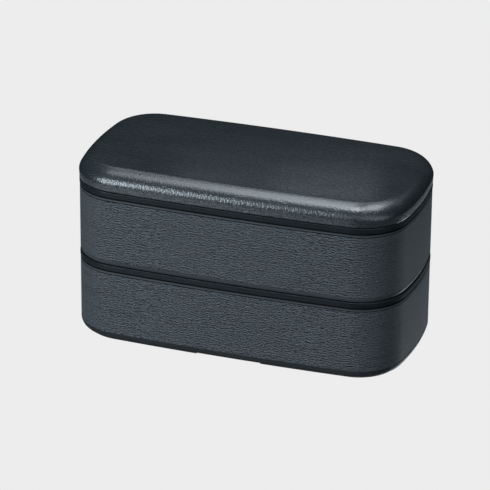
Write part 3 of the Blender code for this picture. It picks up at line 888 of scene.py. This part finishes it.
def inner_lid(tier, vent_x, datum):
    """One inner lid with its boss, scoop, seat and hole."""
    mesh = swept_mesh(tier + "_inner_lid", inner_lid_section(), SATIN_BLACK, FOLD_INSET)
    boss = turned("boss", [(0.0, -PANEL / 2), (VENT_BOSS_RADIUS, -PANEL / 2),
                           (VENT_BOSS_RADIUS, -VENT_BOSS_DEPTH), (0.0, -VENT_BOSS_DEPTH)], VENT_STEPS)
    low = -VENT_BOSS_DEPTH - OVERSHOOT
    seat = turned("seat", [(0.0, OVERSHOOT), (VENT_SEAT_RADIUS, OVERSHOOT),
                           (VENT_SEAT_RADIUS, -VENT_SEAT_DEPTH), (VENT_HOLE_RADIUS, -VENT_SEAT_DEPTH),
                           (VENT_HOLE_RADIUS, low), (0.0, low)], VENT_STEPS)
    shape = bmesh.new()
    bmesh.ops.create_uvsphere(shape, u_segments=48, v_segments=32, radius=VENT_SCOOP_RADIUS)
    scoop = bmesh_result("scoop", shape)
    scoop_rise = VENT_SCOOP_RADIUS - VENT_SEAT_DEPTH + VENT_CLEARANCE
    mesh = cut(mesh, [(boss, (vent_x, 0.0, 0.0), "UNION"),
                      (scoop, (vent_x - VENT_SEAT_RADIUS, 0.0, scoop_rise), "DIFFERENCE"),
                      (seat, (vent_x, 0.0, 0.0), "DIFFERENCE")])
    placed(tier + "_inner_lid", mesh, tier + "_seal", tier + "_seal_lid", (0.0, 0.0, datum))


# %% [markdown]
# ## Gaskets and air valves
# The gasket is a silicone ring with two lips, so its section is a closed one. It is hidden at rest, and
# shows when the box comes apart.

# %% The gasket
GASKET_BAND = 0.0009
GASKET_LIP_ROOT = 0.0007
GASKET_LIP_TIP = 0.00035


def gasket(tier, datum):
    """The ring in the inner lid's groove, with two lips towards the container's wall."""
    back = GROOVE_BACK - SEAT_GAP
    front = back - GASKET_BAND
    tip = WALL + SEAT_GAP
    top = -GROOVE_TOP - SEAT_GAP
    low = GROOVE_LOW + SEAT_GAP
    middle = (top + low) / 2
    valley = (top - low) / 2 - GASKET_LIP_ROOT
    section = smooth([(back, top), (tip, top), (tip, top - GASKET_LIP_TIP), (front, middle + valley),
                      (front, middle - valley), (tip, low + GASKET_LIP_TIP), (tip, low), (back, low)])
    mesh = swept_mesh(tier + "_ring", section, SILICONE, FOLD_INSET, cyclic=True)
    placed(tier + "_ring", mesh, tier + "_seal", tier + "_gasket", (0.0, 0.0, datum))


# %% [markdown]
# The air valve is a mushroom that is pulled through its hole: a flat button with a soft edge, a stem and a
# bead. All of it is round, so it is turned in one go.

# %% The air valve


def round_corner(radius, height, size, start, end, steps):
    """Points of a rounded corner on a profile, angles in degrees from outwards."""
    turns = [math.radians(start + (end - start) * step / steps) for step in range(steps + 1)]
    return [(radius + size * math.cos(turn), height + size * math.sin(turn)) for turn in turns]


def valve(tier, vent_x, datum):
    """The mushroom-shaped valve plug."""
    top = -VENT_BUTTON_SINK
    low = top - VENT_BUTTON_HEIGHT
    bead_top = -VENT_BOSS_DEPTH - VENT_TRAVEL - VENT_CLEARANCE
    bead_low = bead_top - VENT_BEAD_HEIGHT
    edge = VENT_BUTTON_ROUND
    profile = [(0.0, top)]
    profile += round_corner(VENT_BUTTON_RADIUS - edge, top - edge, edge, start=90, end=0, steps=6)
    profile += [(VENT_BUTTON_RADIUS, low), (VENT_STEM_RADIUS, low), (VENT_STEM_RADIUS, bead_top),
                (VENT_BEAD_RADIUS, bead_top), (VENT_BEAD_RADIUS, (bead_top + bead_low) / 2),
                (VENT_STEM_RADIUS, bead_low), (0.0, bead_low)]
    mesh = turned(tier + "_valve", profile, VENT_STEPS)
    mesh.materials.append(SILICONE)
    placed(tier + "_valve", mesh, tier + "_valve", tier + "_vent_plug", (vent_x, 0.0, datum))


# %% [markdown]
# Both tiers close with the same three pieces, so one loop makes them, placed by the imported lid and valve.

# %% Both inner lids with their gaskets and valves
for tier in ("lower", "upper"):
    plug_low, plug_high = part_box(tier + "_vent_plug")
    vent_x = (plug_low.x + plug_high.x) / 2
    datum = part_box(tier + "_seal_lid")[0].z + PLUG_DEPTH
    inner_lid(tier, vent_x, datum)
    gasket(tier, datum)
    valve(tier, vent_x, datum)

# %% [markdown]
# ## The cover
# The cover is a deep cap with a pillow edge. It sits on an inner lid as a tier does, with a short tongue
# in the lid's cove, so it is swept round the same outline.

# %% The sizes of the cover
LID_HEIGHT = 0.01490
LID_EDGE_HEIGHT = 0.0035
LID_WIDEST_HEIGHT = 0.0072
LID_PROUD = 0.00032
LID_TUCK = 0.00020
LID_EDGE_ROUND = 0.00014
LID_EDGE_SUPPORT = 0.00025
LID_SHOULDER_WIDTH = 0.0086
LID_SHOULDER_POWER = 1.75
LID_CROWN = 0.0003
LID_FOLD_INSET = 0.0210
LID_WALL = 0.0022
LID_TOP = 0.0022
LID_TONGUE_INSET = 0.0006
CROWN_STEPS = 10
print("cover, mm high:", round((LID_HEIGHT + LID_CROWN) * 1000, 1))

# %% [markdown]
# The cover's edge is what catches the light, so its profile matters most. A quarter of a superellipse runs
# from the widest line to the top: a power just under two gives a fuller shoulder low down and a flatter
# run-in than a round edge has. The top then rises a further 0.3 mm in a soft crown, which ends level.

# %% The section of the cover, and the cover


def shoulder(inset, width, rise, steps, grain):
    """A quarter of a superellipse from the flat top down to the widest line."""
    points = []
    exponent = 2 / LID_SHOULDER_POWER
    for step in range(steps + 1):
        angle = math.pi / 2 * (steps - step) / steps
        across = 1 - math.cos(angle) ** exponent
        points.append((inset + width * across, LID_WIDEST_HEIGHT + rise * math.sin(angle) ** exponent, grain))
    return points


def cover_section():
    """From the middle of the top, over the pillow edge and in over the tongue, to the underside."""
    rise = LID_HEIGHT - LID_WIDEST_HEIGHT
    bottom = -LID_PROUD + LID_TUCK
    crown_width = LID_FOLD_INSET - (LID_SHOULDER_WIDTH - LID_PROUD)
    section = [(MIDDLE_INSET, LID_HEIGHT + LID_CROWN, 1.0)]
    for step in range(CROWN_STEPS):
        left = step / CROWN_STEPS
        section.append((LID_FOLD_INSET - crown_width * left, LID_HEIGHT + LID_CROWN * (1 - left ** 2), 1.0))
    section += shoulder(-LID_PROUD, LID_SHOULDER_WIDTH, rise, steps=28, grain=1.0)
    section.append((bottom - LID_TUCK / 2, (LID_WIDEST_HEIGHT + LID_EDGE_HEIGHT) / 2, 1.0))
    # A ring of points just above the round keeps the smooth shading of the edge straight down to it
    edge_centre = LID_EDGE_HEIGHT + LID_EDGE_ROUND
    section.append((bottom, edge_centre + LID_EDGE_SUPPORT, 1.0))
    section += arc(bottom + LID_EDGE_ROUND, edge_centre, LID_EDGE_ROUND, OUTWARDS, DOWN, steps=5, wear=0.4)
    centre = SEAT_GAP + ROUNDING_TOP
    tongue_top = centre - math.sqrt(BOTTOM_RADIUS ** 2 - (BOTTOM_RADIUS - LID_TONGUE_INSET) ** 2)
    tongue_low = centre - math.sqrt(BOTTOM_RADIUS ** 2 - (BOTTOM_RADIUS - LID_WALL) ** 2)
    section += smooth([(LID_TONGUE_INSET, LID_EDGE_HEIGHT)])
    section += cove(BOTTOM_RADIUS, tongue_top, tongue_low, steps=8)
    section += smooth([(LID_WALL, LID_WIDEST_HEIGHT)])
    inside = shoulder(LID_WALL, LID_SHOULDER_WIDTH - LID_WALL, rise - LID_TOP, steps=16, grain=0.0)
    section += list(reversed(inside))[1:]
    return section + smooth([(LID_FOLD_INSET, LID_HEIGHT - LID_TOP), (MIDDLE_INSET, LID_HEIGHT - LID_TOP)])


cover_mesh = swept_mesh("cover", cover_section(), LINED_COVER, LID_FOLD_INSET)
cover_place = (0.0, 0.0, COVER_LEVEL - LID_HEIGHT - LID_CROWN)
placed("pillow_cover", cover_mesh, "cover", "outer_lid", cover_place)

# %% [markdown]
# ## The divider
# The divider is a thin plate with round corners, a round bead along its top edge to hold it by, and a flat
# base to stand on. It is hidden at rest. The plate is a filled curve with thickness, and Booleans join the
# bead and the base to it.

# %% The divider
DIVIDER_THICKNESS = 0.0012
DIVIDER_TOP_RADIUS = 0.0040
DIVIDER_BEAD_RADIUS = 0.0010
DIVIDER_BASE_LENGTH = 0.0120
DIVIDER_BASE_HEIGHT = 0.0008


def divider_plate(half_width, height):
    """The upright plate, drawn flat and then stood up."""
    corners = ((half_width - INNER_FILLET, INNER_FILLET, INNER_FILLET, -90),
               (half_width - DIVIDER_TOP_RADIUS, height - DIVIDER_TOP_RADIUS, DIVIDER_TOP_RADIUS, 0),
               (-half_width + DIVIDER_TOP_RADIUS, height - DIVIDER_TOP_RADIUS, DIVIDER_TOP_RADIUS, 90),
               (-half_width + INNER_FILLET, INNER_FILLET, INNER_FILLET, 180))
    points = []
    for across, level, radius, start in corners:
        points += round_corner(across, level, radius, start, start + 90, steps=16)
    plate = curve_object("plate", points, True)
    plate.data.dimensions = "2D"
    plate.data.fill_mode = "BOTH"
    plate.data.extrude = DIVIDER_THICKNESS / 2
    mesh = baked(plate)
    # Its first axis becomes Y and its second becomes Z
    mesh.transform(Matrix(((0, 0, 1, 0), (1, 0, 0, 0), (0, 1, 0, 0), (0, 0, 0, 1))))
    return outwards(mesh)


def divider():
    """The plate, its bead and its base, in the middle of the upper tier."""
    low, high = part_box("divider")
    half_width = high.y
    height = high.z - low.z
    shape = bmesh.new()
    bmesh.ops.create_cone(shape, cap_ends=True, segments=32, radius1=DIVIDER_BEAD_RADIUS,
                          radius2=DIVIDER_BEAD_RADIUS, depth=2 * (half_width - DIVIDER_TOP_RADIUS))
    bmesh.ops.rotate(shape, verts=shape.verts, matrix=Matrix.Rotation(math.pi / 2, 3, "X"))
    bead = bmesh_result("bead", shape)
    base = box_mesh(DIVIDER_BASE_LENGTH, 2 * (half_width - INNER_FILLET), DIVIDER_BASE_HEIGHT)
    mesh = cut(divider_plate(half_width, height),
               [(bead, (0.0, 0.0, height - DIVIDER_BEAD_RADIUS), "UNION"),
                (base, (0.0, 0.0, DIVIDER_BASE_HEIGHT / 2), "UNION")])
    mesh.materials.clear()
    mesh.materials.append(DIVIDER_BLACK)
    placed("loose_divider", mesh, "partition", "divider", (0.0, 0.0, low.z))


divider()

# %% [markdown]
# ## The floor and the world
# The box stands on a plain pale floor with no hard shadow and no horizon, so the floor runs into a dome of
# the same brightness. Only the camera sees it: the box is lit by lamps, and the two can be set apart.
# Colours are shown as they are, with no film look.

# %% The floor and the world
SURROUND_RADIUS = 30.0
SURROUND_STEPS = 64
SURROUND_GLOW = 0.845
WORLD_GREY = (0.004, 0.0045, 0.005)


def surround():
    """A pale floor that runs into a pale dome, seen by the camera only."""
    shape = bmesh.new()
    bmesh.ops.create_uvsphere(shape, u_segments=SURROUND_STEPS, v_segments=SURROUND_STEPS // 2,
                              radius=SURROUND_RADIUS)
    for point in shape.verts:
        point.co.z = max(point.co.z, 0.0)
    bmesh.ops.dissolve_degenerate(shape, edges=shape.edges, dist=WELD_DISTANCE)
    mesh = bmesh_result("pale_surround", shape)
    made, _, shader = plastic("pale_surround", roughness=1.0, specular=0.0)
    shader.inputs["Base Color"].default_value = (0.0, 0.0, 0.0, 1.0)
    shader.inputs["Emission Color"].default_value = (SURROUND_GLOW, SURROUND_GLOW, SURROUND_GLOW, 1.0)
    shader.inputs["Emission Strength"].default_value = 1.0
    mesh.materials.append(made)
    floor = linked("pale_surround", mesh)
    for kind in ("diffuse", "glossy", "transmission", "volume_scatter", "shadow"):
        setattr(floor, "visible_" + kind, False)
    print("surround faces:", len(mesh.polygons))


surround()

world = bpy.data.worlds.new("studio")
world.use_nodes = True
world.node_tree.nodes["Background"].inputs["Color"].default_value = (*WORLD_GREY, 1.0)
bpy.context.scene.world = world
bpy.context.scene.view_settings.view_transform = "Standard"

# %% [markdown]
# ## The soft lights
# A glossy dark box shows its lamps more than its own colour, so each lamp is there for one reflection.
# All are hidden from the camera and a little blue, the ceiling a little less so. The glow lights are small
# panels that stand where a look from the camera bounces to off the level top, so their place follows from
# the patch that they light.

# %% Helpers that hang the lights
LIGHT_DISTANCE = 1.3
LIGHT_TINT = (0.875, 1.0, 1.11)
LIGHT_AIM = Vector((0.0, 0.0, 0.075))
CEILING = 1.375
CEILING_TINT = (0.915, 1.0, 1.09)
GLOW_AHEAD = Vector((-0.2715, 0.8746, 0.4014))
GLOW_REACH = 0.16
GLOW_HEIGHT = 0.012


def panel(name, place, aim, width, height, power, tint=LIGHT_TINT):
    """A rectangle of light at a place, turned to an aim."""
    data = bpy.data.lights.new(name, "AREA")
    data.shape = "RECTANGLE"
    data.size = width
    data.size_y = height
    data.energy = power
    data.color = tint
    made = linked(name, data)
    made.location = place
    made.rotation_euler = (aim - place).to_track_quat("-Z", "Y").to_euler()
    made.visible_camera = False


def ceiling_light(name, left, right, front, back, power):
    """A panel that faces straight down, between a left and a right edge and a front and a back one."""
    place = Vector(((left + right) / 2, (front + back) / 2, CEILING))
    panel(name, place, Vector((place.x, place.y, 0.0)), right - left, back - front, power, CEILING_TINT)


def round_light(name, turn, rise, width, height, power):
    """A panel that many degrees from the front towards the right, and above the horizon."""
    turn, rise = math.radians(turn), math.radians(rise)
    ahead = Vector((math.sin(turn) * math.cos(rise), -math.cos(turn) * math.cos(rise), math.sin(rise)))
    panel(name, LIGHT_AIM + ahead * LIGHT_DISTANCE, LIGHT_AIM, width, height, power)


def glow(name, patch_x, patch_y, width, power):
    """A small panel whose reflection brightens one patch of the cover's top."""
    patch = Vector((patch_x, patch_y, COVER_LEVEL))
    panel(name, patch + GLOW_REACH * GLOW_AHEAD, patch, width, GLOW_HEIGHT, power)


# %% [markdown]
# Panels in the ceiling make the broad sheen along the shoulder of the cover. The key light, low at the
# front left, makes the crisp streak below it, and two weaker lights soften its ends. A ring of panels
# lower than the box stands for the pale table that the walls mirror, and it is strongest at the front
# left. The two glow lights brighten the cover's top towards its front edge.

# %% The soft lights
TABLE_PANELS = 12
TABLE_POWER = 1.65
TABLE_PEAK = -25.0
TABLE_FALL_LEFT = 38.0
TABLE_FALL_RIGHT = 17.0
TABLE_REST = 0.10

ceiling_light("ceiling_left", left=-0.45, right=-0.15, front=-0.55, back=0.50, power=7.3)
ceiling_light("ceiling_right", left=0.15, right=0.75, front=-0.35, back=0.50, power=12.4)
ceiling_light("ceiling_front", left=-0.15, right=0.15, front=-0.55, back=-0.15, power=6.9)
ceiling_light("ceiling_back", left=-0.75, right=0.75, front=0.70, back=0.90, power=3.6)
ceiling_light("ceiling_far_left", left=-0.75, right=-0.45, front=-0.35, back=0.05, power=1.1)
round_light("key", turn=-36.0, rise=14.5, width=0.34, height=0.66, power=14.2)
round_light("key_edge", turn=-20.0, rise=16.0, width=0.27, height=0.60, power=1.8)
round_light("key_spread", turn=-33.0, rise=12.0, width=0.81, height=1.08, power=1.2)
round_light("fill_right", turn=30.0, rise=22.0, width=1.00, height=0.80, power=3.4)
round_light("right_low", turn=60.0, rise=5.0, width=0.80, height=0.60, power=2.6)
for step in range(TABLE_PANELS):
    turn = TABLE_PEAK + (step - TABLE_PANELS / 3) * 360.0 / TABLE_PANELS
    fall = TABLE_FALL_LEFT if turn < TABLE_PEAK else TABLE_FALL_RIGHT
    share = TABLE_REST + (1 - TABLE_REST) * math.exp(-((turn - TABLE_PEAK) / fall) ** 2)
    round_light("table", turn, rise=-28.5, width=0.66, height=0.26, power=TABLE_POWER * share)
round_light("back_right", turn=140.0, rise=40.0, width=0.60, height=0.60, power=0.6)
round_light("table_back", turn=163.0, rise=-42.0, width=1.30, height=0.40, power=4.6)
glow("glow_right", patch_x=0.052, patch_y=-0.046, width=0.058, power=0.0028)
glow("glow_left", patch_x=-0.006, patch_y=-0.052, width=0.052, power=0.0011)
print("lights:", len(bpy.data.lights))

# %% [markdown]
# ## The camera
# The view was worked out from the photograph's seams and outline: a long lens, 19 degrees round to the
# right and 24 degrees up, turned half a degree. The point in the middle of the upper seam shows a little
# above the middle of the picture. The camera is turned towards the picture's middle instead of being
# shifted, so other views of the same scene stay centred.

# %% The camera
PICTURE_SIZE = 490
CAMERA_AZIMUTH = 0.3244357
CAMERA_ELEVATION = 0.4112175
CAMERA_ROLL = 0.0106897
CAMERA_DISTANCE = 1.7221
FOCAL_PIXELS = 3318.0
SEAM_PIXEL = (255.996, 183.110)
SENSOR_WIDTH = 36.0

back = Vector((math.sin(CAMERA_AZIMUTH) * math.cos(CAMERA_ELEVATION),
               -math.cos(CAMERA_AZIMUTH) * math.cos(CAMERA_ELEVATION), math.sin(CAMERA_ELEVATION)))
level = Vector((math.cos(CAMERA_AZIMUTH), math.sin(CAMERA_AZIMUTH), 0.0))
upright = back.cross(level)
right = math.cos(CAMERA_ROLL) * level + math.sin(CAMERA_ROLL) * upright
up = -math.sin(CAMERA_ROLL) * level + math.cos(CAMERA_ROLL) * upright
seam_middle = Vector((0.0, 0.0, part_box("upper_container")[1].z + SEAT_GAP / 2))
ahead = (-back + right * (PICTURE_SIZE / 2 - SEAM_PIXEL[0]) / FOCAL_PIXELS
         + up * (SEAM_PIXEL[1] - PICTURE_SIZE / 2) / FOCAL_PIXELS).normalized()
side = ahead.cross(up).normalized()
top = side.cross(ahead)

camera_data = bpy.data.cameras.new("camera")
camera_data.sensor_width = SENSOR_WIDTH
camera_data.lens = FOCAL_PIXELS * SENSOR_WIDTH / PICTURE_SIZE
camera = linked("camera", camera_data)
camera.matrix_world = Matrix((side, top, -ahead)).transposed().to_4x4()
camera.location = seam_middle + back * CAMERA_DISTANCE
bpy.context.scene.camera = camera
print("lens, mm:", round(camera_data.lens, 1))
